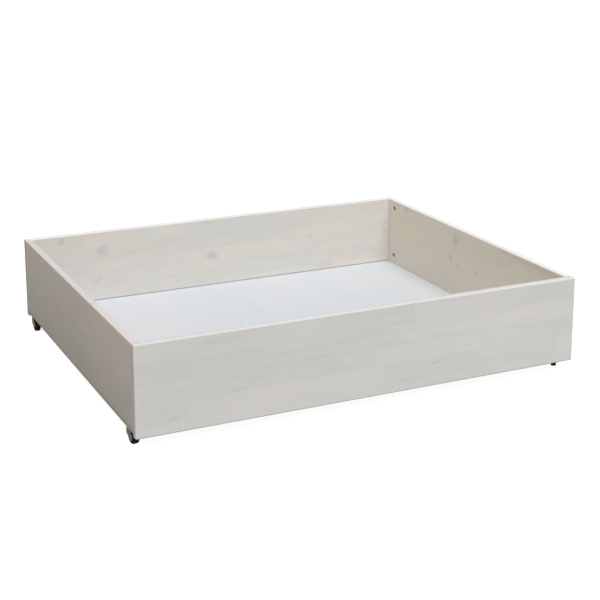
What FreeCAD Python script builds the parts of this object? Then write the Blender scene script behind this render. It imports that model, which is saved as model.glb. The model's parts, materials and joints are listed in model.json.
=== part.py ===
import FreeCAD, Part
import math
import os

# Under bed storage box: four whitewashed pine panels, a thin two-piece base and four small
# swivel castors. Millimetres, +Z up, floor at z = 0, origin under the middle of the box.
# The front panel faces -Y. A corner is named by front/back and left/right: fl, fr, bl, br.

# Box
WIDTH = 990.0
DEPTH = 810.0
TOP = 212.0
FRONT_BOTTOM = 25.0
PANEL = 16.0
EDGE_RADIUS = 3.0
SEAM_RADIUS = 0.8

# Base in two halves, let into grooves in the front and rear panels
BASE_BOTTOM = 33.0
BASE_THICK = 8.0
GROOVE_DEPTH = 6.0
GROOVE_PLAY = 1.5
BASE_JOINT_GAP = 0.2
BASE_EDGE_RADIUS = 0.3
RAIL_WIDTH = 60.0

# Corner joints: a stud in the front or rear panel is drawn tight by a slotted barrel
FITTING_HEIGHTS = (63.0, 191.0)
FITTING_INSET = 30.0
BARREL_RADIUS = 6.0
BARREL_HOLE_DEPTH = 12.0
BARREL_RECESS = 2.5
STUD_RADIUS = 3.0
STUD_THREAD = 11.0
SHANK_RADIUS = 2.5
STUD_HEAD_RADIUS = 3.3
STUD_BORE_RADIUS = 3.5
DOWEL_HEIGHTS = (95.0, 159.0)
DOWEL_RADIUS = 4.0
DOWEL_IN_FACE = 11.5
DOWEL_IN_END = 28.0
GLUE_GAP = 0.5

# Countersunk screws, driven upwards
SCREW_RADIUS = 1.5
SCREW_HEAD_RADIUS = 3.0
SCREW_HEAD_HEIGHT = 2.0
SIDE_SCREW_LENGTH = 25.0
SIDE_SCREW_Y = (-250.0, -85.0, 85.0, 250.0)
RAIL_SCREW_LENGTH = 13.0
RAIL_SCREW_X = 18.0
RAIL_SCREW_Y = (-330.0, -110.0, 110.0, 330.0)

# Castors
FRONT_CASTOR_INSET = 55.0
REAR_CASTOR_INSET = 43.0
TRAIL = 12.0
WHEEL_RADIUS = 12.5
TREAD_WIDTH = 11.0
HUB_RADIUS = 4.5
HUB_WIDTH = 12.4
WHEEL_RECESS_RADIUS = 9.5
WHEEL_RECESS_DEPTH = 2.0
AXLE_RADIUS = 2.0
AXLE_HEAD_RADIUS = 3.2
AXLE_HEAD_HEIGHT = 0.8
RUNNING_CLEARANCE = 0.05
FORK_GAP = 13.0
FORK_STEEL = 1.2
FORK_TOP = 29.2
FORK_SKIRT_BOTTOM = 18.5
FORK_FRONT = 10.0
FORK_EYE_RADIUS = 6.0
STEM_RADIUS = 3.5
STEM_TOP = 51.0
STEM_COLLAR_RADIUS = 7.2
STEM_COLLAR_HEIGHT = 2.0
STEM_SHANK_RADIUS = 3.0
STEM_RIVET_RADIUS = 4.5
STEM_RIVET_HEIGHT = 0.8
SLEEVE_RADIUS = 5.0
SLEEVE_TOP = 53.0
SLEEVE_CAP = 1.5
SLEEVE_FLANGE_RADIUS = 7.8
SLEEVE_FLANGE_HEIGHT = 1.5

# Corner: side of the box along X, end along Y, and the castor's heading in degrees about +Z.
# At heading 0 the wheel trails towards the front.
CORNERS = {
    "fl": (-1, -1, 14.0),
    "fr": (1, -1, -35.0),
    "bl": (-1, 1, 4.0),
    "br": (1, 1, -12.0),
}

HALF_WIDTH = WIDTH / 2
HALF_DEPTH = DEPTH / 2
INNER_X = HALF_WIDTH - PANEL
INNER_Y = HALF_DEPTH - PANEL
MIDDLE_X = HALF_WIDTH - PANEL / 2
BASE_TOP = BASE_BOTTOM + BASE_THICK
CASTOR_Y = {-1: FRONT_CASTOR_INSET - HALF_DEPTH, 1: HALF_DEPTH - REAR_CASTOR_INSET}
FORK_HALF = FORK_GAP / 2 + FORK_STEEL

X_AXIS = FreeCAD.Vector(1, 0, 0)
Y_AXIS = FreeCAD.Vector(0, 1, 0)
Z_AXIS = FreeCAD.Vector(0, 0, 1)


def point(x, y, z):
    return FreeCAD.Vector(x, y, z)


def block(low, high):
    """A box between two opposite corners."""
    size = [b - a for a, b in zip(low, high)]
    return Part.makeBox(*size, FreeCAD.Vector(*low))


def rod(radius, start, end):
    """A round bar from start to end."""
    along = end - start
    return Part.makeCylinder(radius, along.Length, start, along)


def edges_at(shape, **planes):
    """The straight edges that lie in every plane given, such as z=212."""
    def held(edge):
        box = edge.BoundBox
        return all(
            abs(getattr(box, axis.upper() + "Min") - value) < 1e-6
            and abs(getattr(box, axis.upper() + "Max") - value) < 1e-6
            for axis, value in planes.items()
        )
    return [edge for edge in shape.Edges if held(edge)]


def every_corner_joint(heights):
    """Side, end and height of each fitting in the four corner joints."""
    return [
        (side, end, z)
        for side in (-1, 1)
        for end in (-1, 1)
        for z in heights
    ]


# Corner fittings

def stud_line(side, end, z, y):
    return point(side * MIDDLE_X, end * y, z)


def stud(side, end, z):
    """Threaded into the inner face of the front or rear panel, with its head in the barrel."""
    face = stud_line(side, end, z, INNER_Y)
    thread_end = stud_line(side, end, z, INNER_Y + STUD_THREAD)
    head_start = stud_line(side, end, z, INNER_Y - FITTING_INSET + 2.0)
    head_end = stud_line(side, end, z, INNER_Y - FITTING_INSET - 1.0)
    body = rod(STUD_RADIUS, thread_end, face)
    body = body.fuse(rod(SHANK_RADIUS, face, head_start))
    return body.fuse(rod(STUD_HEAD_RADIUS, head_start, head_end))


def stud_bore(side, end, z):
    """The bore in the side panel's end, which runs on into the barrel."""
    mouth = stud_line(side, end, z, INNER_Y)
    bottom = stud_line(side, end, z, INNER_Y - FITTING_INSET - 1.5)
    return rod(STUD_BORE_RADIUS, mouth, bottom)


def stud_thread_bore(side, end, z):
    mouth = stud_line(side, end, z, INNER_Y)
    bottom = stud_line(side, end, z, INNER_Y + STUD_THREAD)
    return rod(STUD_RADIUS, mouth, bottom)


def barrel_hole(side, end, z):
    y = end * (INNER_Y - FITTING_INSET)
    mouth = point(side * INNER_X, y, z)
    bottom = point(side * (INNER_X + BARREL_HOLE_DEPTH), y, z)
    return rod(BARREL_RADIUS, mouth, bottom)


def barrel(side, end, z):
    """A round steel nut with a screwdriver slot in the end that shows inside the box."""
    y = end * (INNER_Y - FITTING_INSET)
    outer = side * (INNER_X + BARREL_RECESS)
    inner = side * (INNER_X + BARREL_HOLE_DEPTH)
    body = rod(BARREL_RADIUS, point(outer, y, z), point(inner, y, z))
    slot = block((-1.5, -4.0, -0.7), (1.5, 4.0, 0.7))
    slot.rotate(point(0, 0, 0), X_AXIS, 30.0)
    slot.translate(point(outer, y, z))
    return body.cut([slot, stud_bore(side, end, z)])


def dowel(side, end, z):
    return rod(
        DOWEL_RADIUS,
        stud_line(side, end, z, INNER_Y + DOWEL_IN_FACE),
        stud_line(side, end, z, INNER_Y - DOWEL_IN_END),
    )


def dowel_bore(side, end, z):
    return rod(
        DOWEL_RADIUS,
        stud_line(side, end, z, INNER_Y + DOWEL_IN_FACE + GLUE_GAP),
        stud_line(side, end, z, INNER_Y - DOWEL_IN_END - GLUE_GAP),
    )


# Screws

def screw_body(x, y, z, length):
    """The space a countersunk screw fills, its head flush with the plane z."""
    head = Part.makeCone(
        SCREW_HEAD_RADIUS, SCREW_RADIUS, SCREW_HEAD_HEIGHT, point(x, y, z), Z_AXIS
    )
    return head.fuse(rod(SCREW_RADIUS, point(x, y, z), point(x, y, z + length)))


def screw(x, y, z, length):
    """The screw itself, with a cross recess in its head."""
    long_bar = block((x - 1.6, y - 0.4, z), (x + 1.6, y + 0.4, z + 1.2))
    cross_bar = block((x - 0.4, y - 1.6, z), (x + 0.4, y + 1.6, z + 1.2))
    return screw_body(x, y, z, length).cut([long_bar, cross_bar])


SIDE_SCREWS = [
    (side * MIDDLE_X, y, BASE_BOTTOM, SIDE_SCREW_LENGTH)
    for side in (-1, 1)
    for y in SIDE_SCREW_Y
]
RAIL_SCREWS = [
    (side * RAIL_SCREW_X, y, FRONT_BOTTOM, RAIL_SCREW_LENGTH)
    for side in (-1, 1)
    for y in RAIL_SCREW_Y
]


# Panels and base

def end_panel(end):
    """The front or rear panel: full width, grooved for the base, drilled on its inner face."""
    low = point(-HALF_WIDTH, min(end * INNER_Y, end * HALF_DEPTH), FRONT_BOTTOM)
    board = Part.makeBox(WIDTH, PANEL, TOP - FRONT_BOTTOM, low)
    board = board.makeFillet(EDGE_RADIUS, board.Edges)
    near = end * (INNER_Y - 1.0)
    far = end * (INNER_Y + GROOVE_DEPTH)
    groove = block(
        (-HALF_WIDTH, min(near, far), BASE_BOTTOM),
        (HALF_WIDTH, max(near, far), BASE_TOP + GROOVE_PLAY),
    )
    bores = [
        stud_thread_bore(side, e, z)
        for side, e, z in every_corner_joint(FITTING_HEIGHTS)
        if e == end
    ]
    bores += [
        dowel_bore(side, e, z)
        for side, e, z in every_corner_joint(DOWEL_HEIGHTS)
        if e == end
    ]
    return board.cut([groove] + bores)


def castor_socket(side, end):
    return rod(
        SLEEVE_RADIUS,
        point(side * MIDDLE_X, CASTOR_Y[end], BASE_BOTTOM),
        point(side * MIDDLE_X, CASTOR_Y[end], SLEEVE_TOP),
    )


def side_panel(side):
    """A side panel stands on the base between the front and rear panels."""
    low = point(min(side * INNER_X, side * HALF_WIDTH), -INNER_Y, BASE_TOP)
    board = Part.makeBox(PANEL, 2 * INNER_Y, TOP - BASE_TOP, low)
    rim = edges_at(board, z=TOP, x=side * INNER_X) + edges_at(board, z=TOP, x=side * HALF_WIDTH)
    board = board.makeFillet(EDGE_RADIUS, rim)
    seam = edges_at(board, z=BASE_TOP, x=side * HALF_WIDTH)
    seam += edges_at(board, z=BASE_TOP, x=side * INNER_X)
    board = board.makeFillet(SEAM_RADIUS, seam)
    cuts = [castor_socket(side, end) for end in (-1, 1)]
    cuts += [screw_body(*place) for place in SIDE_SCREWS if place[0] * side > 0]
    for s, end, z in every_corner_joint(FITTING_HEIGHTS):
        if s == side:
            cuts += [barrel_hole(s, end, z), stud_bore(s, end, z)]
    cuts += [dowel_bore(s, end, z) for s, end, z in every_corner_joint(DOWEL_HEIGHTS) if s == side]
    return board.cut(cuts)


def base_half(side):
    """One half of the base, from the middle joint out to the side panel's outer face."""
    reach = INNER_Y + GROOVE_DEPTH
    joint = side * BASE_JOINT_GAP / 2
    outer = side * HALF_WIDTH
    board = block(
        (min(joint, outer), -reach, BASE_BOTTOM),
        (max(joint, outer), reach, BASE_TOP),
    )
    board = board.makeFillet(BASE_EDGE_RADIUS, edges_at(board, z=BASE_TOP, x=joint))
    cuts = [castor_socket(side, end) for end in (-1, 1)]
    cuts += [screw_body(*place) for place in SIDE_SCREWS + RAIL_SCREWS if place[0] * side > 0]
    return board.cut(cuts)


def base_rail():
    """A thin batten under the joint between the two halves of the base."""
    board = block(
        (-RAIL_WIDTH / 2, -INNER_Y, FRONT_BOTTOM), (RAIL_WIDTH / 2, INNER_Y, BASE_BOTTOM)
    )
    return board.cut([screw_body(*place) for place in RAIL_SCREWS])


# Castors, drawn round the swivel axis at the origin with the wheel trailing towards -Y

def sleeve():
    """A flanged blind socket for the stem, pressed up into the side panel."""
    flange_bottom = BASE_BOTTOM - SLEEVE_FLANGE_HEIGHT
    body = rod(SLEEVE_RADIUS, point(0, 0, flange_bottom), point(0, 0, SLEEVE_TOP))
    flange = rod(SLEEVE_FLANGE_RADIUS, point(0, 0, flange_bottom), point(0, 0, BASE_BOTTOM))
    bore = rod(
        STEM_RADIUS + RUNNING_CLEARANCE,
        point(0, 0, flange_bottom),
        point(0, 0, SLEEVE_TOP - SLEEVE_CAP),
    )
    return body.fuse(flange).cut(bore).removeSplitter()


def stem():
    """The swivel pin, riveted through the top of the fork."""
    plate_bottom = FORK_TOP - FORK_STEEL
    collar_top = FORK_TOP + STEM_COLLAR_HEIGHT
    pin = rod(STEM_RADIUS, point(0, 0, collar_top), point(0, 0, STEM_TOP))
    tip = edges_at(pin, z=STEM_TOP)
    pin = pin.makeChamfer(0.8, tip)
    collar = rod(STEM_COLLAR_RADIUS, point(0, 0, FORK_TOP), point(0, 0, collar_top))
    shank = rod(STEM_SHANK_RADIUS, point(0, 0, plate_bottom), point(0, 0, FORK_TOP))
    rivet = rod(
        STEM_RIVET_RADIUS,
        point(0, 0, plate_bottom - STEM_RIVET_HEIGHT),
        point(0, 0, plate_bottom),
    )
    return pin.fuse([collar, shank, rivet])


def tangent_point(y, z, turn):
    """Where a line from (y, z) touches the eye round the axle; turn is +1 or -1."""
    away = math.hypot(y + TRAIL, z - WHEEL_RADIUS)
    angle = math.atan2(z - WHEEL_RADIUS, y + TRAIL) + turn * math.acos(FORK_EYE_RADIUS / away)
    return (
        -TRAIL + FORK_EYE_RADIUS * math.cos(angle),
        WHEEL_RADIUS + FORK_EYE_RADIUS * math.sin(angle),
    )


def fork_leg(inner, outer):
    """One cheek of the fork, tapering from the head down to the axle eye."""
    outline = [
        (0.0, FORK_TOP),
        (-FORK_FRONT, FORK_TOP),
        tangent_point(-FORK_FRONT, FORK_TOP, 1),
        (-TRAIL, WHEEL_RADIUS),
        tangent_point(0.0, FORK_SKIRT_BOTTOM, -1),
        (0.0, FORK_SKIRT_BOTTOM),
    ]
    corners = [point(inner, y, z) for y, z in outline]
    face = Part.Face(Part.makePolygon(corners + corners[:1]))
    cheek = face.extrude(point(outer - inner, 0, 0))
    eye = rod(
        FORK_EYE_RADIUS,
        point(inner, -TRAIL, WHEEL_RADIUS),
        point(outer, -TRAIL, WHEEL_RADIUS),
    )
    return cheek.fuse(eye)


def fork():
    """Pressed steel: a flat head, a round skirt behind it and two cheeks down to the axle."""
    half = FORK_HALF
    head = block((-half, -FORK_FRONT, FORK_TOP - FORK_STEEL), (half, 0, FORK_TOP))
    behind = block((-half, 0, FORK_SKIRT_BOTTOM), (half, half, FORK_TOP))
    round_head = rod(half, point(0, 0, FORK_SKIRT_BOTTOM), point(0, 0, FORK_TOP))
    hollow = rod(
        FORK_GAP / 2, point(0, 0, FORK_SKIRT_BOTTOM), point(0, 0, FORK_TOP - FORK_STEEL)
    )
    cap = round_head.cut(hollow).common(behind)
    body = head.fuse([cap, fork_leg(-half, -FORK_GAP / 2), fork_leg(FORK_GAP / 2, half)])
    holes = [
        rod(STEM_SHANK_RADIUS, point(0, 0, FORK_TOP - FORK_STEEL), point(0, 0, FORK_TOP)),
        rod(AXLE_RADIUS, point(-half, -TRAIL, WHEEL_RADIUS), point(half, -TRAIL, WHEEL_RADIUS)),
    ]
    return body.cut(holes).removeSplitter()


def axle_bar(radius, start, end):
    """A round bar on the wheel's axis, between two places across the fork."""
    return rod(
        radius, point(start, -TRAIL, WHEEL_RADIUS), point(end, -TRAIL, WHEEL_RADIUS)
    )


def axle():
    """A rivet through both cheeks, with a flat head outside each."""
    half = FORK_HALF
    tip = half + AXLE_HEAD_HEIGHT
    heads = [axle_bar(AXLE_HEAD_RADIUS, half, tip), axle_bar(AXLE_HEAD_RADIUS, -tip, -half)]
    return axle_bar(AXLE_RADIUS, -half, half).fuse(heads)


def wheel():
    """A solid roller with a rounded tread, dished sides and a slightly proud hub."""
    half = TREAD_WIDTH / 2
    tread = axle_bar(WHEEL_RADIUS, -half, half)
    rims = edges_at(tread, x=half) + edges_at(tread, x=-half)
    body = tread.makeFillet(1.2, rims)
    floor = half - WHEEL_RECESS_DEPTH
    dishes = [
        axle_bar(WHEEL_RECESS_RADIUS, floor, half),
        axle_bar(WHEEL_RECESS_RADIUS, -half, -floor),
    ]
    hub = axle_bar(HUB_RADIUS, -HUB_WIDTH / 2, HUB_WIDTH / 2)
    bore = axle_bar(AXLE_RADIUS + RUNNING_CLEARANCE, -HUB_WIDTH / 2, HUB_WIDTH / 2)
    return body.cut(dishes).fuse(hub).cut(bore).removeSplitter()


def placed(shape, corner):
    """A castor piece turned to its corner's heading and moved to its swivel axis."""
    side, end, heading = CORNERS[corner]
    shape.rotate(point(0, 0, 0), Z_AXIS, heading)
    shape.translate(point(side * MIDDLE_X, CASTOR_Y[end], 0))
    return shape


def group(shapes):
    return Part.makeCompound(list(shapes))


nodes = {
    "front_panel": end_panel(-1),
    "rear_panel": end_panel(1),
    "left_panel": side_panel(-1),
    "right_panel": side_panel(1),
    "base_left": base_half(-1),
    "base_right": base_half(1),
    "base_rail": base_rail(),
    "corner_barrels": group(barrel(*place) for place in every_corner_joint(FITTING_HEIGHTS)),
    "corner_studs": group(stud(*place) for place in every_corner_joint(FITTING_HEIGHTS)),
    "corner_dowels": group(dowel(*place) for place in every_corner_joint(DOWEL_HEIGHTS)),
    "side_screws": group(screw(*place) for place in SIDE_SCREWS),
    "rail_screws": group(screw(*place) for place in RAIL_SCREWS),
    "castor_sleeves": group(placed(sleeve(), corner) for corner in CORNERS),
}
for corner in CORNERS:
    nodes["castor_stem_" + corner] = placed(stem(), corner)
    nodes["castor_fork_" + corner] = placed(fork(), corner)
    nodes["castor_axle_" + corner] = placed(axle(), corner)
    nodes["castor_wheel_" + corner] = placed(wheel(), corner)

os.makedirs("parts", exist_ok=True)
for name, shape in nodes.items():
    shape.exportStep("parts/" + name + ".step")
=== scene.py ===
import json
import math

import bmesh
import bpy
from mathutils import Matrix, Vector


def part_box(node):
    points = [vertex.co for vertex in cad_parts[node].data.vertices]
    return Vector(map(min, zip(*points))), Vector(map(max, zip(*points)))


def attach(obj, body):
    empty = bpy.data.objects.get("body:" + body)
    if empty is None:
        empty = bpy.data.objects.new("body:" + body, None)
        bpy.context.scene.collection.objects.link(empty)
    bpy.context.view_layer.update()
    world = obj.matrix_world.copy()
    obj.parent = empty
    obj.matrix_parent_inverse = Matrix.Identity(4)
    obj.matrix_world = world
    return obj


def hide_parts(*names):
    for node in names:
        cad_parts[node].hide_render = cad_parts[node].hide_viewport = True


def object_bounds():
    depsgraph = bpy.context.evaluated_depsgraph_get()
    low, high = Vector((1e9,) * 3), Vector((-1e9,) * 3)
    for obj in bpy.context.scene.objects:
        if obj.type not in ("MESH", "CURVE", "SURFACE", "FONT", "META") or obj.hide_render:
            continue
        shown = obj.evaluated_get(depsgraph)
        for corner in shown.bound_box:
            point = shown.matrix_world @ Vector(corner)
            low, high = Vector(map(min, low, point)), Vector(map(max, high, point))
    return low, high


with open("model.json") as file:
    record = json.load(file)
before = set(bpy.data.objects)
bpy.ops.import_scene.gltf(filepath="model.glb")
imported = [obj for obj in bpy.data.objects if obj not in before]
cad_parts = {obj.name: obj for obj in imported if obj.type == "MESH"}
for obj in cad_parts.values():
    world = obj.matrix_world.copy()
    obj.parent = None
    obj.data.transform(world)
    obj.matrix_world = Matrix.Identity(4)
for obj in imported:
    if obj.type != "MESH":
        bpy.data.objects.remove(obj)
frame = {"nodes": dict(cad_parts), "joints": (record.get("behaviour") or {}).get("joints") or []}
cad_low, cad_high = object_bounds()
nodes = frame["nodes"]
joints = {joint["name"]: joint for joint in frame["joints"]}
MM = 0.001


# ---------------------------------------------------------------- shader graphs

class Graph:
    """Short names for the shader nodes used below. A number or tuple goes on the socket."""

    def __init__(self, name):
        self.material = bpy.data.materials.new(name)
        self.material.use_nodes = True
        self.tree = self.material.node_tree
        self.shader = self.tree.nodes["Principled BSDF"]
        self.place = self.node("ShaderNodeTexCoord").outputs["Object"]

    def node(self, kind, **settings):
        made = self.tree.nodes.new(kind)
        for key, value in settings.items():
            setattr(made, key, value)
        return made

    def put(self, value, socket):
        if isinstance(value, bpy.types.NodeSocket):
            self.tree.links.new(value, socket)
        else:
            socket.default_value = value

    def math(self, operation, a, b=0.0):
        made = self.node("ShaderNodeMath", operation=operation)
        self.put(a, made.inputs[0])
        self.put(b, made.inputs[1])
        return made.outputs[0]

    def add(self, a, b):
        return self.math("ADD", a, b)

    def sub(self, a, b):
        return self.math("SUBTRACT", a, b)

    def mul(self, a, b):
        return self.math("MULTIPLY", a, b)

    def swing(self, value, amount):
        """Turns a value of 0 to 1 into a change of half the amount either way."""
        return self.mul(self.sub(value, 0.5), amount)

    def split(self, vector):
        made = self.node("ShaderNodeSeparateXYZ")
        self.put(vector, made.inputs[0])
        return made.outputs[0], made.outputs[1], made.outputs[2]

    def join(self, x, y, z):
        made = self.node("ShaderNodeCombineXYZ")
        for value, socket in zip((x, y, z), made.inputs):
            self.put(value, socket)
        return made.outputs[0]

    def ramp(self, value, low, high, to_low=0.0, to_high=1.0):
        """A smooth step: to_low below low, to_high above high."""
        made = self.node("ShaderNodeMapRange", interpolation_type="SMOOTHSTEP")
        for number, socket in zip((value, low, high, to_low, to_high), made.inputs):
            self.put(number, socket)
        return made.outputs[0]

    def stretch(self, vector, scale):
        """Scales each axis by itself, so that a noise is drawn out along the smaller ones."""
        made = self.node("ShaderNodeVectorMath", operation="MULTIPLY")
        self.put(vector, made.inputs[0])
        made.inputs[1].default_value = scale
        return made.outputs[0]

    def noise(self, vector, scale=1.0, detail=2.0, roughness=0.5):
        """A smooth noise of 0 to 1 with scale cells per metre."""
        made = self.node("ShaderNodeTexNoise")
        self.put(vector, made.inputs["Vector"])
        made.inputs["Scale"].default_value = scale
        made.inputs["Detail"].default_value = detail
        made.inputs["Roughness"].default_value = roughness
        return made.outputs["Fac"]

    def random(self, x, y, z):
        """Four random numbers that stay the same over one whole cell."""
        made = self.node("ShaderNodeTexWhiteNoise", noise_dimensions="3D")
        self.put(self.join(x, y, z), made.inputs["Vector"])
        split = self.node("ShaderNodeSeparateColor")
        self.put(made.outputs["Color"], split.inputs[0])
        return made.outputs["Value"], split.outputs[0], split.outputs[1], split.outputs[2]

    def mix(self, factor, a, b, blend="MIX"):
        """Colour a at a factor of 0 and b at 1, or a times b with blend "MULTIPLY"."""
        made = self.node("ShaderNodeMix", data_type="RGBA", blend_type=blend)
        self.put(factor, made.inputs[0])
        self.put(a, made.inputs[6])
        self.put(b, made.inputs[7])
        return made.outputs[2]

    def grey(self, value):
        made = self.node("ShaderNodeCombineColor")
        for socket in made.inputs:
            self.put(value, socket)
        return made.outputs[0]

    def bump(self, height, distance):
        made = self.node("ShaderNodeBump")
        made.inputs["Strength"].default_value = 1.0
        made.inputs["Distance"].default_value = distance
        self.put(height, made.inputs["Height"])
        self.put(made.outputs["Normal"], self.shader.inputs["Normal"])

    def finish(self, colour, roughness, **constants):
        """Fills the surface's sockets and hands over the material."""
        self.put(colour, self.shader.inputs["Base Color"])
        self.put(roughness, self.shader.inputs["Roughness"])
        for key, value in constants.items():
            self.shader.inputs[key.replace("_", " ")].default_value = value
        return self.material


def rgb(red, green, blue):
    """A colour given as it looks on screen, 0 to 255."""
    return tuple(
        c / 12.92 if c <= 0.04045 else ((c + 0.055) / 1.055) ** 2.4
        for c in (red / 255, green / 255, blue / 255)
    ) + (1.0,)


# ---------------------------------------------------------------- whitewashed pine

STAVE = 41 * MM                 # width of the glued staves
SHORT_BLOCK = 0.17              # shortest finger-jointed block in a stave
BLOCK_SPREAD = 0.18             # how much longer the longest is
BLOCK_OFFSET = 1.7              # how far the blocks of two staves may be out of step
FINGER = 2 * MM                 # half the width of a finger in the joints
FINGER_SLOPE = 3.0              # length of a finger over half its width
RING = 3.4 * MM                 # mean spacing of the growth rings
RING_SPREAD = 2.0 * MM          # how much it varies from block to block
PITH_NEAR = 14 * MM             # least distance of the pith from the plane w = 0
PITH_SPREAD = 60 * MM           # how much further off it may be
PITH_SIDEWAYS = 70 * MM         # how much it varies across a stave
PITH_LEAN = 0.05                # how much it slants along a block
BLOCKS_APART = 9.0              # keeps the grain of two blocks from matching
WANDER_SIZE = 26 * MM           # size of the rings' slow bends
RIPPLE_SIZE = 1.6 * MM          # and of their small waves
KNOT_PUSH = 9 * MM              # how far a knot pushes the rings aside
KNOT_WOBBLE = 9 * MM            # how uneven its outline is
GLUE_LINE = (0.6 * MM, 0.1 * MM)        # where its tint begins and is full
GLUE_GROOVE = (0.5 * MM, 0.1 * MM)      # where its groove begins and is full

# noise cells per metre, along the board and across its height and thickness
WANDER = (2.2, 9.0, 9.0)        # slow bends of the rings
RIPPLE = (9.0, 70.0, 70.0)      # small waves of the rings
FIBRE = (7.0, 620.0, 620.0)     # fine fibres
STREAK = (2.0, 75.0, 75.0)      # long thin streaks
CLOUD = (7.0, 19.0, 19.0)       # patches of the wood tones
SMEAR = (2.5, 26.0, 26.0)       # stain wiped on by hand
# noise cells per metre, along X, Y and Z
MOTTLE = (31.0, 47.0, 53.0)     # small blotches
UNEVEN = (60.0, 60.0, 60.0)     # frayed edges of knots and streaks

# how much of the brightness each feature takes at a contrast of 1
BLOCK_SHADE = 0.030
RING_SHADE = 0.030
FIBRE_SHADE = 0.045
STREAK_SHADE = 0.040
SMEAR_SHADE = 0.055
GLUE_SHADE = 0.030

END_HIGHLIGHT = rgb(219, 211, 212)        # painted highlight: a pale line just before the sawn ends
HALO = rgb(208, 208, 186)       # yellower wood round a knot
KNOT = rgb(188, 184, 190)
PALE_KNOT = rgb(186, 183, 184)
FAR = 99.0                      # a knot distance that means there is none


def knot_distance(g, flat, knots):
    """How far a point is from the nearest knot, 1 being its edge.
    Each knot is (along, across, half length, half height, tilt in degrees)."""
    nearest = FAR
    for along, across, length, height, tilt in knots:
        at = g.node("ShaderNodeMapping", vector_type="TEXTURE")
        g.put(flat, at.inputs["Vector"])
        at.inputs["Location"].default_value = (along, across, 0)
        at.inputs["Rotation"].default_value = (0, 0, math.radians(tilt))
        at.inputs["Scale"].default_value = (length, height, 1)
        size = g.node("ShaderNodeVectorMath", operation="LENGTH")
        g.put(at.outputs[0], size.inputs[0])
        nearest = g.math("MINIMUM", size.outputs["Value"], nearest)
    return nearest


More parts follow.
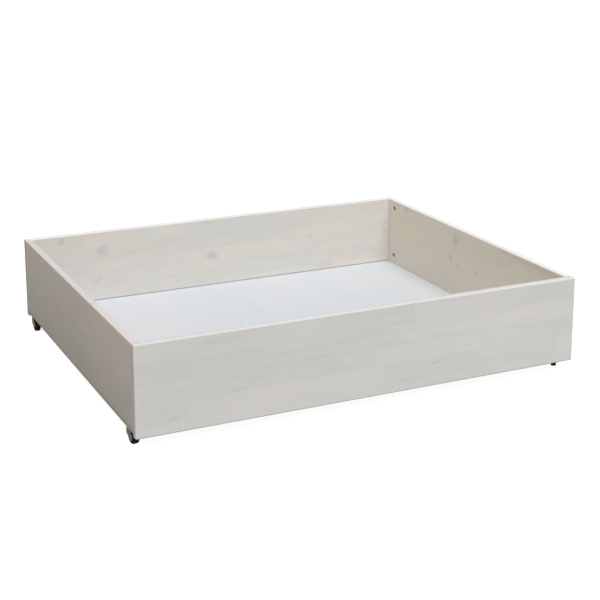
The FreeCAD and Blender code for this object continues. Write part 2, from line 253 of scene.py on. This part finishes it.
def pine(name, axes, seed, first_stave, end, tones, knots=(), pale_knots=(), streaks_and_painted_light=(),
         contrast=1.0, colour_play=1.0, halo_depth=0.40, edge=None, end_tint=0.04, painted_light_fade=None):
    """Edge-glued pine under a thin white stain. axes are the board's length, height and
    thickness as 0, 1 or 2 for X, Y or Z. first_stave is where the lowest stave begins, and
    end is half the board's length. tones are the three colours that show through the stain,
    the third as strongly as colour_play says; edge is the colour of the top edge, partly the
    sanded edge's own tone and partly a painted highlight, set brighter on some boards.
    bands are soft streaks, each (along, across, half length, half height, amount), darker
    where amount is above 0 and lighter where below; some are painted light and painted shade.
    end_tint is how much darker the sawn ends are, and fade is painted shade and light: how
    much darker the board is made at the bottom edge and lighter at the top."""
    g = Graph(name)
    xyz = g.split(g.place)
    u, v, w = (xyz[k] for k in axes)

    # staves across the board, each made of blocks finger-jointed end to end
    height = g.math("DIVIDE", g.sub(v, first_stave), STAVE)
    stave = g.math("FLOOR", height)
    shift = g.random(stave, seed, 1.5)
    fingers = g.math("PINGPONG", w, FINGER)
    along = g.add(g.add(u, g.mul(shift[1], BLOCK_OFFSET)), g.mul(fingers, FINGER_SLOPE))
    block_length = g.add(g.mul(shift[2], BLOCK_SPREAD), SHORT_BLOCK)
    block_at = g.math("DIVIDE", along, block_length)
    block = g.math("FLOOR", block_at)
    value, red, green, blue = g.random(block, stave, seed)

    # The pith of each block's tree lies near the plane w = 0. That is far behind a panel,
    # so the rings show on it as long, nearly straight lines.
    centre = g.mul(g.add(stave, 0.5), STAVE)
    dv = g.sub(g.sub(g.sub(v, first_stave), centre), g.swing(red, PITH_SIDEWAYS))
    side = g.sub(g.mul(g.math("GREATER_THAN", blue, 0.5), 2.0), 1.0)
    dw = g.add(w, g.mul(side, g.add(g.mul(green, PITH_SPREAD), PITH_NEAR)))
    du = g.add(u, g.mul(value, BLOCKS_APART))
    dv = g.add(dv, g.mul(u, g.swing(blue, PITH_LEAN)))

    solid = g.join(du, dv, dw)
    wander = g.noise(g.stretch(solid, WANDER))
    ripple = g.noise(g.stretch(solid, RIPPLE), detail=1.0)
    radius = g.math("SQRT", g.add(g.mul(dv, dv), g.mul(dw, dw)))
    radius = g.add(radius, g.swing(wander, WANDER_SIZE))
    radius = g.add(radius, g.swing(ripple, RIPPLE_SIZE))

    # knots push the rings aside and blur under the stain
    uneven = g.noise(g.stretch(g.place, UNEVEN))
    wobble = g.swing(uneven, KNOT_WOBBLE)
    flat = g.join(g.add(u, wobble), g.add(v, wobble), 0.0)
    clear = knot_distance(g, flat, knots)
    pale = knot_distance(g, flat, pale_knots)
    any_knot = g.math("MINIMUM", clear, pale)
    push = g.math("DIVIDE", KNOT_PUSH, g.add(g.mul(any_knot, any_knot), 0.6))
    radius = g.add(radius, push)

    # late wood darkens slowly through each ring and stops sharply
    spacing = g.add(g.mul(red, RING_SPREAD), RING - RING_SPREAD / 2)
    ring = g.math("FRACT", g.math("DIVIDE", radius, spacing))
    late = g.mul(g.ramp(ring, 0.35, 0.92), g.ramp(ring, 1.0, 0.93))
    board = g.join(u, v, w)
    fibre = g.noise(g.stretch(solid, FIBRE), detail=3.0, roughness=0.6)
    streak = g.noise(g.stretch(solid, STREAK), detail=3.0, roughness=0.55)
    cloud = g.noise(g.stretch(board, CLOUD), roughness=0.55)
    smear = g.noise(g.stretch(board, SMEAR), roughness=0.6)
    mottle = g.noise(g.stretch(g.place, MOTTLE))

    # the stain lets a little of three wood tones through
    first, second, third = (rgb(*t) for t in tones)
    patch = g.ramp(g.add(g.mul(green, 0.45), g.mul(cloud, 0.55)), 0.30, 0.68)
    blotch = g.ramp(g.add(g.mul(blue, 0.4), g.mul(mottle, 0.6)), 0.42, 0.72)
    tone = g.mix(patch, first, second)
    tone = g.mix(g.mul(blotch, colour_play), tone, third)

    depth = g.mul(late, g.ramp(streak, 0.25, 0.75, 0.55, 1.0))
    shade = g.add(g.swing(value, BLOCK_SHADE * contrast), 1.0)
    shade = g.sub(shade, g.mul(depth, RING_SHADE * contrast))
    shade = g.sub(shade, g.swing(fibre, FIBRE_SHADE * contrast))
    shade = g.sub(shade, g.swing(streak, STREAK_SHADE * contrast))
    shade = g.add(shade, g.swing(smear, SMEAR_SHADE * contrast))
    # bands: streaks in the wood, or painted light and painted shade where a board's bands stand
    # for the light on it
    for band_u, band_v, length, thick, amount in streaks_and_painted_light:
        du_band = g.math("DIVIDE", g.sub(u, band_u), length)
        dv_band = g.math("DIVIDE", g.sub(g.add(v, g.mul(wobble, 0.6)), band_v), thick)
        far = g.add(g.mul(du_band, du_band), g.mul(dv_band, dv_band))
        shade = g.sub(shade, g.ramp(far, 1.6, 0.2, 0.0, amount))
    # painted shade and painted light: darker towards the bottom edge, lighter towards the top
    if painted_light_fade:
        darker, lighter = painted_light_fade
        shade = g.add(shade, g.ramp(v, bottom, rim, -darker, lighter))

    # glue lines between staves and between blocks
    gap_v = g.mul(g.math("PINGPONG", height, 0.5), STAVE)
    gap_u = g.mul(g.math("PINGPONG", block_at, 0.5), block_length)
    seam = g.math("MINIMUM", gap_v, gap_u)
    shade = g.sub(shade, g.ramp(seam, *GLUE_LINE, 0.0, GLUE_SHADE * contrast))

    # the sawn ends look darker, with a painted highlight just before them where the corners are
    # rounded
    from_end = g.sub(end, g.math("ABSOLUTE", u))
    shade = g.sub(shade, g.ramp(from_end, 2.4 * MM, 0.8 * MM, 0.0, end_tint))
    colour = g.mix(1.0, tone, g.grey(shade), "MULTIPLY")
    end_highlight = g.mul(g.ramp(from_end, 8 * MM, 4 * MM), g.ramp(from_end, 0.8 * MM, 2.4 * MM))
    colour = g.mix(g.mul(end_highlight, 0.45), colour, END_HIGHLIGHT)

    # a halo round each knot, and the knot's own rings inside it
    halo = g.mul(g.ramp(any_knot, 2.6, 1.1), g.ramp(uneven, 0.36, 0.62))
    colour = g.mix(g.mul(halo, halo_depth), colour, HALO)
    grain = g.add(g.mul(g.math("PINGPONG", g.mul(any_knot, 2.2), 0.5), 0.3), 0.80)
    for distance, cover, tint in ((clear, 0.85, KNOT), (pale, 0.45, PALE_KNOT)):
        eye = g.mul(g.ramp(distance, 1.35, 0.25), grain)
        colour = g.mix(g.mul(eye, cover), colour, tint)

    # the top edge gets its own colour, partly the sanded edge's tone and partly a painted
    # highlight
    if edge:
        top = g.ramp(v, rim - 2.6 * MM, rim - 0.3 * MM)
        shaded = g.mix(1.0, rgb(*edge), g.grey(shade), "MULTIPLY")
        colour = g.mix(top, colour, shaded)

    relief = g.sub(g.mul(fibre, 0.35), g.mul(late, 0.30))
    relief = g.sub(relief, g.ramp(seam, *GLUE_GROOVE, 0.0, 0.6))
    relief = g.sub(relief, g.mul(g.ramp(clear, 1.15, 0.9), 0.25))
    g.bump(relief, 0.14 * MM)
    rough = g.add(g.swing(streak, 0.16), g.add(g.mul(late, -0.05), 0.60))
    return g.finish(colour, rough, Specular_IOR_Level=0.30)


# ---------------------------------------------------------------- the other materials

def white_board(name, top):
    """Fibreboard: white lacquer on the upper face, bare pale fibre elsewhere."""
    g = Graph(name)
    z = g.split(g.place)[2]
    fine = g.noise(g.place, 900.0)
    broad = g.noise(g.place, 3.2, 3.0)
    scuff = g.noise(g.stretch(g.place, (9.0, 60.0, 9.0)), 1.0, 4.0, 0.7)
    lacquer = g.mix(g.ramp(broad, 0.3, 0.7), rgb(203, 206, 211), rgb(207, 208, 211))
    lacquer = g.mix(g.mul(g.ramp(scuff, 0.62, 0.80), 0.20), lacquer, rgb(197, 200, 203))
    lacquer = g.mix(g.mul(g.ramp(fine, 0.62, 0.75), 0.10), lacquer, rgb(197, 199, 201))
    hair = g.noise(g.place, 420.0, 3.0, 0.7)
    clump = g.noise(g.place, 70.0, 3.0, 0.6)
    fibre = g.mix(g.ramp(hair, 0.3, 0.72), rgb(174, 163, 148), rgb(198, 188, 175))
    fibre = g.mix(g.mul(g.ramp(clump, 0.5, 0.75), 0.4), fibre, rgb(158, 147, 132))
    upper = g.ramp(z, top - 0.5 * MM, top - 0.2 * MM)
    g.bump(g.mix(upper, g.grey(hair), g.grey(g.mul(fine, 0.35))), 0.12 * MM)
    rough = g.add(g.mul(upper, -0.40), g.add(g.swing(broad, 0.10), 0.84))
    return g.finish(g.mix(upper, fibre, lacquer), rough, Specular_IOR_Level=0.35)


def zinc(name, light, dark, roughness, seed):
    """Zinc-plated steel: cloudy plating, fine drawn lines and a few darker spots. The seed
    moves the pattern, so that two parts don't share it."""
    g = Graph(name)
    moved = g.node("ShaderNodeVectorMath", operation="ADD")
    g.put(g.place, moved.inputs[0])
    moved.inputs[1].default_value = (seed, 0.3 * seed, 0.7 * seed)
    at = moved.outputs[0]
    cloud = g.noise(at, 190.0, 3.0, 0.6)
    drawn = g.noise(g.stretch(at, (300.0, 300.0, 2600.0)))
    spots = g.noise(at, 1500.0)
    colour = g.mix(g.ramp(cloud, 0.3, 0.7), light, dark)
    colour = g.mix(g.mul(g.ramp(spots, 0.64, 0.74), 0.45), colour, rgb(96, 92, 82))
    rough = g.add(g.swing(drawn, 0.22), g.add(g.mul(cloud, 0.14), roughness))
    g.bump(g.add(g.mul(drawn, 0.5), g.mul(spots, 0.4)), 0.03 * MM)
    return g.finish(colour, rough, Metallic=1.0)


def black_plastic(name, tread_radius, hub):
    """Moulded black plastic with a fine spark texture; the tread is scuffed and dusty."""
    g = Graph(name)
    grain = g.noise(g.place, 2600.0)
    patch = g.noise(g.place, 160.0, 3.0, 0.65)
    offset = g.node("ShaderNodeVectorMath", operation="DISTANCE")
    g.put(g.place, offset.inputs[0])
    offset.inputs[1].default_value = hub
    out = g.ramp(offset.outputs["Value"], tread_radius - 1.6 * MM, tread_radius - 0.2 * MM)
    colour = g.mix(g.ramp(patch, 0.35, 0.75), rgb(17, 17, 18), rgb(27, 26, 26))
    dust = g.mul(out, g.ramp(patch, 0.42, 0.70, 0.04, 0.32))
    colour = g.mix(dust, colour, rgb(72, 69, 65))
    g.bump(g.add(g.mul(grain, 0.5), g.mul(g.mul(out, patch), 0.8)), 0.06 * MM)
    rough = g.add(g.mul(out, 0.20), g.add(g.swing(grain, 0.12), 0.42))
    return g.finish(colour, rough, Specular_IOR_Level=0.45)


def grey_plastic(name):
    """Moulded grey plastic with a fine grain and slightly uneven colour."""
    g = Graph(name)
    grain = g.noise(g.place, 2200.0)
    patch = g.noise(g.place, 120.0, 3.0)
    colour = g.mix(g.ramp(patch, 0.3, 0.7), rgb(112, 112, 109), rgb(134, 133, 129))
    g.bump(grain, 0.05 * MM)
    return g.finish(colour, g.add(g.mul(grain, 0.15), 0.45))


def beech(name):
    """Beech with short pores along Y, the way the dowels lie."""
    g = Graph(name)
    pore = g.noise(g.stretch(g.place, (900.0, 45.0, 900.0)), detail=3.0, roughness=0.6)
    colour = g.mix(g.ramp(pore, 0.35, 0.7), rgb(206, 168, 126), rgb(178, 138, 98))
    g.bump(pore, 0.08 * MM)
    return g.finish(colour, g.add(g.mul(pore, 0.15), 0.55))


# ---------------------------------------------------------------- materials on the CAD nodes

def give(node, material):
    """Makes this the only material of a CAD node."""
    mesh = nodes[node].data
    mesh.materials.clear()
    mesh.materials.append(material)


panel_low, panel_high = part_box("front_panel")
bottom, rim = panel_low.z, panel_high.z
half_width, half_side = panel_high.x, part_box("left_panel")[1].y

ALONG_X, ALONG_Y, FLAT_ALONG_Y = (0, 2, 1), (1, 2, 0), (1, 0, 2)

# three wood tones under the stain for each board. Their hues differ as the boards do, and their
# brightness carries painted light: KHAKI_PAINTED_LIGHT is lightened as painted light for the
# right board's inner face, SHADED_PAINTED_SHADE darkened as painted shade for the left board's
# outer face.
SOFT = [(216, 212, 208), (213, 210, 205), (216, 212, 205)]
ROSE = [(210, 202, 197), (207, 205, 200), (209, 204, 192)]
KHAKI_PAINTED_LIGHT = [(227, 218, 203), (226, 219, 200), (223, 215, 205)]
SHADED_PAINTED_SHADE = [(206, 198, 190), (206, 199, 187), (203, 196, 191)]
BARE = [(222, 196, 158), (214, 184, 142), (226, 204, 168)]

# knots are (along, across, half length, half height, tilt in degrees),
# and bands (along, across, half length, half height, amount); a band darkens, or lightens where
# its amount is below 0, and the left and right boards' bands are painted light and painted shade
REAR_KNOTS = [
    (-0.410, 0.198, 0.0105, 0.0085, 0),
    (-0.308, 0.163, 0.0170, 0.0160, 0),
    (-0.027, 0.117, 0.0175, 0.0130, -10),
]
REAR_PALE = [
    (-0.324, 0.091, 0.021, 0.0075, 38),
    (0.144, 0.156, 0.0045, 0.0055, 0),
    (-0.034, 0.205, 0.018, 0.0045, 0),
    (0.289, 0.054, 0.028, 0.0085, 3),
    (0.248, 0.137, 0.007, 0.0050, 0),
    (0.466, 0.146, 0.022, 0.0036, 4),
    (-0.135, 0.077, 0.026, 0.0026, 2),
]
RIGHT_PALE = [
    (0.052, 0.181, 0.018, 0.0120, 40),
    (0.077, 0.131, 0.0085, 0.0090, 0),
    (0.041, 0.118, 0.0065, 0.0060, 0),
    (-0.040, 0.123, 0.0095, 0.0050, 0),
    (0.296, 0.201, 0.0085, 0.0055, 20),
    (-0.290, 0.154, 0.0080, 0.0065, 0),
]
# painted light and painted shadow on the right board: the first band lightens its front end,
# where the front board shades it, and the second is a painted shadow line just under the top edge
RIGHT_PAINTED_LIGHT_AND_SHADOW = [
    (-0.300, 0.120, 0.160, 0.100, -0.060),
    (-0.250, 0.203, 0.110, 0.0055, 0.085),
]
FRONT_PALE = [
    (0.150, 0.075, 0.012, 0.0030, 0),
    (-0.415, 0.055, 0.015, 0.0028, 5),
]
FRONT_BANDS = [
    (-0.420, 0.120, 0.220, 0.110, 0.022),
    (0.400, 0.120, 0.240, 0.110, -0.022),
    (-0.318, 0.195, 0.046, 0.0085, 0.045),
    (-0.262, 0.112, 0.034, 0.0110, 0.030),
    (-0.285, 0.090, 0.024, 0.0040, 0.025),
    (-0.160, 0.128, 0.080, 0.0080, 0.018),
    (0.200, 0.145, 0.230, 0.0090, -0.030),
    (-0.090, 0.096, 0.060, 0.0060, 0.022),
]
# painted light: the left board is lightened towards its front end
LEFT_PAINTED_LIGHT = [
    (-0.330, 0.130, 0.260, 0.120, -0.060),
]
LEFT_PALE = [
    (0.147, 0.066, 0.0110, 0.0085, 0),
    (-0.093, 0.131, 0.0090, 0.0075, 0),
    (-0.016, 0.100, 0.0070, 0.0065, 15),
    (0.270, 0.168, 0.0120, 0.0085, 0),
    (-0.260, 0.173, 0.0070, 0.0055, 0),
]
give("front_panel", pine(
    "pine_front", ALONG_X, seed=3.7, first_stave=bottom - 0.02, end=half_width, tones=SOFT,
    pale_knots=FRONT_PALE, streaks_and_painted_light=FRONT_BANDS,
    contrast=0.85, colour_play=0.7, halo_depth=0.0, edge=(208, 207, 207), end_tint=0.05))
give("rear_panel", pine(
    "pine_rear", ALONG_X, seed=11.3, first_stave=bottom - 0.01, end=half_width, tones=ROSE,
    knots=REAR_KNOTS, pale_knots=REAR_PALE,
    contrast=1.25, colour_play=0.9, halo_depth=0.25, edge=(221, 220, 216), end_tint=0.26))
give("left_panel", pine(
    "pine_left", ALONG_Y, seed=19.1, first_stave=bottom - 0.03, end=half_side, tones=SHADED_PAINTED_SHADE,
    pale_knots=LEFT_PALE, streaks_and_painted_light=LEFT_PAINTED_LIGHT,
    contrast=0.55, colour_play=0.7, halo_depth=0.15, edge=(200, 193, 192), painted_light_fade=(0.11, 0.08)))
give("right_panel", pine(
    "pine_right", ALONG_Y, seed=27.9, first_stave=bottom - 0.015, end=half_side, tones=KHAKI_PAINTED_LIGHT,
    pale_knots=RIGHT_PALE, streaks_and_painted_light=RIGHT_PAINTED_LIGHT_AND_SHADOW, contrast=0.8, edge=(228, 226, 225)))
give("base_rail", pine(
    "pine_rail", FLAT_ALONG_Y, seed=35.2, first_stave=-0.1, end=half_side, tones=BARE,
    contrast=2.6))

base_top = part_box("base_left")[1].z
board = white_board("white_fibreboard", base_top)
give("base_left", board)
give("base_right", board)

plated = zinc("zinc_screws", rgb(196, 194, 184), rgb(168, 166, 156), 0.28, seed=1.0)
for name in ("corner_studs", "side_screws", "rail_screws"):
    give(name, plated)
dull = zinc("zinc_barrels", rgb(124, 113, 86), rgb(92, 84, 62), 0.36, seed=2.0)
give("corner_barrels", dull)
give("corner_dowels", beech("beech"))
give("castor_sleeves", grey_plastic("sleeve_grey"))
pressed = zinc("zinc_forks", rgb(178, 181, 177), rgb(144, 147, 143), 0.46, seed=3.0)


# ---------------------------------------------------------------- castors

WHEEL_RADIUS = 12.5 * MM
TREAD_HALF = 5.5 * MM           # half the tread's width
TREAD_ROUND = 1.9 * MM          # rounding of its shoulders
BORE_RADIUS = 2.05 * MM
HUB_RADIUS = 4.5 * MM
HUB_HALF = 6.2 * MM             # half the hub's length
DISH = 3.6 * MM                 # the dished sides, measured from the wheel's middle
DISH_INNER, DISH_OUTER = 5.1 * MM, 9.1 * MM
DISH_EDGE = 0.4 * MM            # softened edges of the hub and the dish
RIM_RADIUS = 10.0 * MM          # where the tread's flat side begins
MOULD_HALF = 0.22 * MM          # half the width of the line round the tread
RIBS = 6
RIB_START = 15.0                # direction of the first rib, in degrees
RIB_SIZE = (1.6 * MM, 5.0 * MM, 1.1 * MM)
RIB_AT = 7.0 * MM               # middle of a rib, from the axle
FORK_HALF = 7.7 * MM            # half the fork's outer width
STEEL = 1.2 * MM                # thickness of its sheet
FORK_BEND = 1.6 * MM            # radius of the bend into the cheeks
FORK_NOSE = 10.0 * MM           # reach of the head over the wheel
SKIRT_DEPTH = 10.7 * MM
EYE_RADIUS = 6.0 * MM           # round end of the cheeks
PIN_RADIUS = 2.0 * MM
HEAD_RADIUS = 3.2 * MM          # rivet head
HEAD_HEIGHT = 0.8 * MM


def mesh_object(name, bm, place, material, smooth=35):
    """A new object with its place in its mesh. Edges sharper than smooth degrees stay crisp."""
    bmesh.ops.recalc_face_normals(bm, faces=bm.faces)
    mesh = bpy.data.meshes.new(name)
    bm.to_mesh(mesh)
    bm.free()
    mesh.transform(place)
    mesh.materials.append(material)
    mesh.shade_smooth()
    mesh.set_sharp_from_angle(angle=math.radians(smooth))
    made = bpy.data.objects.new(name, mesh)
    bpy.context.scene.collection.objects.link(made)
    return made


def arc(centre, radius, start, stop, steps):
    """Points on a circle arc, angles in degrees."""
    return [
        (
            centre[0] + radius * math.cos(math.radians(start + (stop - start) * k / steps)),
            centre[1] + radius * math.sin(math.radians(start + (stop - start) * k / steps)),
        )
        for k in range(steps + 1)
    ]


def between(a, b, steps):
    """The points that divide the line from a to b into steps, without its ends."""
    return [tuple(p + (q - p) * k / steps for p, q in zip(a, b)) for k in range(1, steps)]


def mirrored(half):
    """A closed profile from the half of it on the positive side."""
    return half + [(radius, -along) for radius, along in reversed(half)]


def lathe(bm, profile, segments):
    """Turns a closed profile of (radius, along) points about the local X axis."""
    rings = []
    for k in range(segments):
        angle = 2 * math.pi * k / segments
        rings.append([
            bm.verts.new((along, radius * math.cos(angle), radius * math.sin(angle)))
            for radius, along in profile
        ])
    for k in range(segments):
        here, there = rings[k], rings[(k + 1) % segments]
        for j in range(len(profile)):
            n = (j + 1) % len(profile)
            bm.faces.new((here[j], here[n], there[n], there[j]))


def wheel_mesh():
    """Crowned tread with a mould line, dished sides with six ribs, and a proud hub."""
    bm = bmesh.new()
    shoulder = (WHEEL_RADIUS - TREAD_ROUND, TREAD_HALF - TREAD_ROUND)
    half = [
        (BORE_RADIUS, HUB_HALF),
        (HUB_RADIUS - DISH_EDGE, HUB_HALF),
        (HUB_RADIUS, HUB_HALF - DISH_EDGE),
        (DISH_INNER - DISH_EDGE, DISH + DISH_EDGE),
        (DISH_INNER, DISH),
        (DISH_OUTER, DISH),
        (DISH_OUTER + DISH_EDGE, DISH + DISH_EDGE),
        (RIM_RADIUS - 0.3 * MM, TREAD_HALF - 0.3 * MM),
        (RIM_RADIUS, TREAD_HALF),
    ]
    half += arc(shoulder, TREAD_ROUND, 90, 6, 5)
    half += [(WHEEL_RADIUS - 0.02 * MM, 1.4 * MM), (WHEEL_RADIUS, MOULD_HALF)]
    lathe(bm, mirrored(half), 72)
    size = Matrix.Diagonal(RIB_SIZE + (1.0,))
    for side in (-1, 1):
        for k in range(RIBS):
            turn = Matrix.Rotation(math.radians(360 / RIBS * k + RIB_START), 4, "X")
            rib = Matrix.Translation((side * (DISH + 0.35 * MM), RIB_AT, 0)) @ size
            made = bmesh.ops.create_cube(bm, size=1.0, matrix=turn @ rib)
            edges = {e for v in made["verts"] for e in v.link_edges}
            bmesh.ops.bevel(bm, geom=list(edges), offset=0.18 * MM, segments=2, affect="EDGES")
    return bm


def axle_mesh():
    """A rivet with a low domed head outside each cheek of the fork."""
    bm = bmesh.new()
    tip = FORK_HALF + HEAD_HEIGHT
    half = [
        (PIN_RADIUS, FORK_HALF - STEEL),
        (PIN_RADIUS, FORK_HALF),
        (HEAD_RADIUS, FORK_HALF),
        (3.15 * MM, FORK_HALF + 0.25 * MM),
        (2.6 * MM, FORK_HALF + 0.58 * MM),
        (1.6 * MM, tip - 0.06 * MM),
        (0.02 * MM, tip),
    ]
    lathe(bm, mirrored(half), 40)
    return bm


def tangent(centre, radius, y, z, turn):
    """The angle, in degrees, where a line from (y, z) touches the circle."""
    away = math.hypot(y - centre[0], z - centre[1])
    line = math.atan2(z - centre[1], y - centre[0])
    return math.degrees(line + turn * math.acos(radius / away))


def fork_mesh(trail, axle_z, top):
    """A pressed fork as one folded sheet: head, round skirt, and cheeks down to the axle eye.
    Drawn round the swivel axis with the wheel trailing towards -Y."""
    bm = bmesh.new()
    eye, skirt, nose, fold_z = (-trail, axle_z), top - SKIRT_DEPTH, -FORK_NOSE, top - FORK_BEND
    low = tangent(eye, EYE_RADIUS, 0.0, skirt, -1)
    high = tangent(eye, EYE_RADIUS, nose, top, 1)
    while high > low:
        high -= 360
    curve = arc(eye, EYE_RADIUS, low, high, 18)

    # the lower edge of a cheek, as (y, z) from the skirt round the eye to the nose
    lower = [(0.0, skirt)] + between((0.0, skirt), curve[0], 6)
    lower += curve + between(curve[-1], (nose, fold_z), 4)
    shares = [level / 5 for level in range(6)]
    fold = arc((FORK_HALF - FORK_BEND, fold_z), FORK_BEND, 0, 90, 4)[1:]

    def cheek_line(side, k):
        """One line of a cheek, from its lower edge up and over the bend."""
        y_top = nose * (k / (len(lower) - 1))
        y_low, z_low = lower[k]
        line = [
            (side * FORK_HALF, y_low + (y_top - y_low) * s, z_low + (fold_z - z_low) * s)
            for s in shares
        ]
        return line + [(side * x, y_top, z) for x, z in fold]

    def skirt_line(angle):
        """One line of the round skirt, from its lower edge up and over the bend."""
        line = [(FORK_HALF, skirt + (fold_z - skirt) * s) for s in shares] + fold
        return [(r * math.cos(angle), r * math.sin(angle), z) for r, z in line]

    steps = 18
    lines = [cheek_line(1, k) for k in range(len(lower) - 1, 0, -1)]
    lines += [skirt_line(math.pi * k / steps) for k in range(steps + 1)]
    lines += [cheek_line(-1, k) for k in range(1, len(lower))]
    grid = [[bm.verts.new(p) for p in line] for line in lines]
    for here, there in zip(grid, grid[1:]):
        for j in range(len(here) - 1):
            bm.faces.new((here[j], there[j], there[j + 1], here[j + 1]))
    head = bm.faces.new([line[-1] for line in grid])
    bmesh.ops.triangulate(bm, faces=[head])
    return bm


def build_castor(corner):
    """Draws one castor's fork, rivet and wheel where its joints are, in place of the CAD ones."""
    pivot = Vector(joints["castor_turn_" + corner]["pos_m"])
    hub = Vector(joints["wheel_roll_" + corner]["pos_m"])
    axis = Vector(joints["wheel_roll_" + corner]["axis"])
    heading = math.atan2(axis.y, axis.x)
    trail = math.hypot(hub.x - pivot.x, hub.y - pivot.y)
    turned = Matrix.Rotation(heading, 4, "Z")
    fork_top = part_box("castor_fork_" + corner)[1].z

    at_pivot = Matrix.Translation((pivot.x, pivot.y, 0)) @ turned
    folded = fork_mesh(trail, hub.z, fork_top)
    fork = mesh_object("fork_" + corner, folded, at_pivot, pressed, smooth=40)
    sheet = fork.modifiers.new("steel", "SOLIDIFY")
    sheet.thickness = STEEL
    sheet.offset = -1.0
    soften = fork.modifiers.new("edges", "BEVEL")
    soften.width = 0.22 * MM
    soften.segments = 2
    soften.limit_method = "ANGLE"
    soften.angle_limit = math.radians(55)
    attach(fork, "swivel_" + corner)
    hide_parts("castor_fork_" + corner)

    at_hub = Matrix.Translation(hub) @ turned
    axle = mesh_object("axle_" + corner, axle_mesh(), at_hub, plated, smooth=30)
    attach(axle, "swivel_" + corner)
    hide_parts("castor_axle_" + corner)

    black = black_plastic("wheel_black_" + corner, WHEEL_RADIUS, hub)
    wheel = mesh_object("wheel_" + corner, wheel_mesh(), at_hub, black)
    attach(wheel, "roller_" + corner)
    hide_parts("castor_wheel_" + corner)
    give("castor_stem_" + corner, plated)


for corner in ("fl", "fr", "bl", "br"):
    build_castor(corner)


# ---------------------------------------------------------------- floor, light and camera

FLOOR_RADIUS = 40.0
FLOOR_SEEN = 0.94               # brightness of the floor to the camera
FILL_COLOUR = (1.0, 0.945, 0.85, 1.0)
FILL_STRENGTH = 0.44
SUN_COLOUR = (0.955, 1.0, 1.045)
SUN_STRENGTH = 2.9
SUN_WIDTH = math.radians(40)
SUN_FROM = Vector((-0.07, -0.54, 0.838))
LENS = 80.95                    # on a 36 mm sensor
SHIFT = -0.2                    # keeps upright edges nearly parallel
CAMERA_AT = (-1.2167, -2.6516, 1.0619)
YAW = math.radians(25.266)      # to the right of +Y
PITCH = math.radians(12.971)    # below level


def floor():
    """A pale studio floor. It lights the object less than it looks, as a lit sweep would."""
    g = Graph("studio_floor")
    broad = g.noise(g.place, 0.9)
    fine = g.noise(g.place, 260.0)
    colour = g.mix(g.ramp(broad, 0.3, 0.7), rgb(146, 146, 146), rgb(150, 150, 150))
    g.bump(fine, 0.05 * MM)
    g.finish(colour, g.add(g.mul(fine, 0.1), 0.85), Specular_IOR_Level=0.1)
    path = g.node("ShaderNodeLightPath")
    g.put(path.outputs["Is Camera Ray"], g.shader.inputs["Emission Strength"])
    g.shader.inputs["Emission Color"].default_value = (FLOOR_SEEN, FLOOR_SEEN, FLOOR_SEEN, 1.0)
    bm = bmesh.new()
    bmesh.ops.create_circle(bm, cap_ends=True, radius=FLOOR_RADIUS, segments=96)
    made = mesh_object("floor", bm, Matrix.Translation((0, 0, cad_low.z)), g.material)


def light():
    """A warm even fill that looks white to the camera, and one wide soft sun."""
    world = bpy.data.worlds.new("studio")
    world.use_nodes = True
    tree = world.node_tree
    tree.nodes.clear()
    out = tree.nodes.new("ShaderNodeOutputWorld")
    seen = tree.nodes.new("ShaderNodeBackground")
    seen.inputs["Color"].default_value = (1.0, 1.0, 1.0, 1.0)
    seen.inputs["Strength"].default_value = 1.0
    fill = tree.nodes.new("ShaderNodeBackground")
    fill.inputs["Color"].default_value = FILL_COLOUR
    fill.inputs["Strength"].default_value = FILL_STRENGTH
    path = tree.nodes.new("ShaderNodeLightPath")
    pick = tree.nodes.new("ShaderNodeMixShader")
    tree.links.new(path.outputs["Is Camera Ray"], pick.inputs[0])
    tree.links.new(fill.outputs[0], pick.inputs[1])
    tree.links.new(seen.outputs[0], pick.inputs[2])
    tree.links.new(pick.outputs[0], out.inputs[0])
    bpy.context.scene.world = world
    key = bpy.data.lights.new("key", "SUN")
    key.energy = SUN_STRENGTH
    key.angle = SUN_WIDTH
    key.color = SUN_COLOUR
    lamp = bpy.data.objects.new("key", key)
    lamp.rotation_mode = "QUATERNION"
    lamp.rotation_quaternion = SUN_FROM.to_track_quat("Z", "Y")
    bpy.context.scene.collection.objects.link(lamp)


def camera():
    """The view from the front left corner, looking slightly down."""
    data = bpy.data.cameras.new("camera")
    data.sensor_width = 36.0
    data.lens = LENS
    data.shift_y = SHIFT
    made = bpy.data.objects.new("camera", data)
    made.location = CAMERA_AT
    made.rotation_euler = (math.pi / 2 - PITCH, 0.0, -YAW)
    bpy.context.scene.collection.objects.link(made)
    bpy.context.scene.camera = made


floor()
light()
camera()
view = bpy.context.scene.view_settings
view.view_transform = "Standard"
view.look = "None"
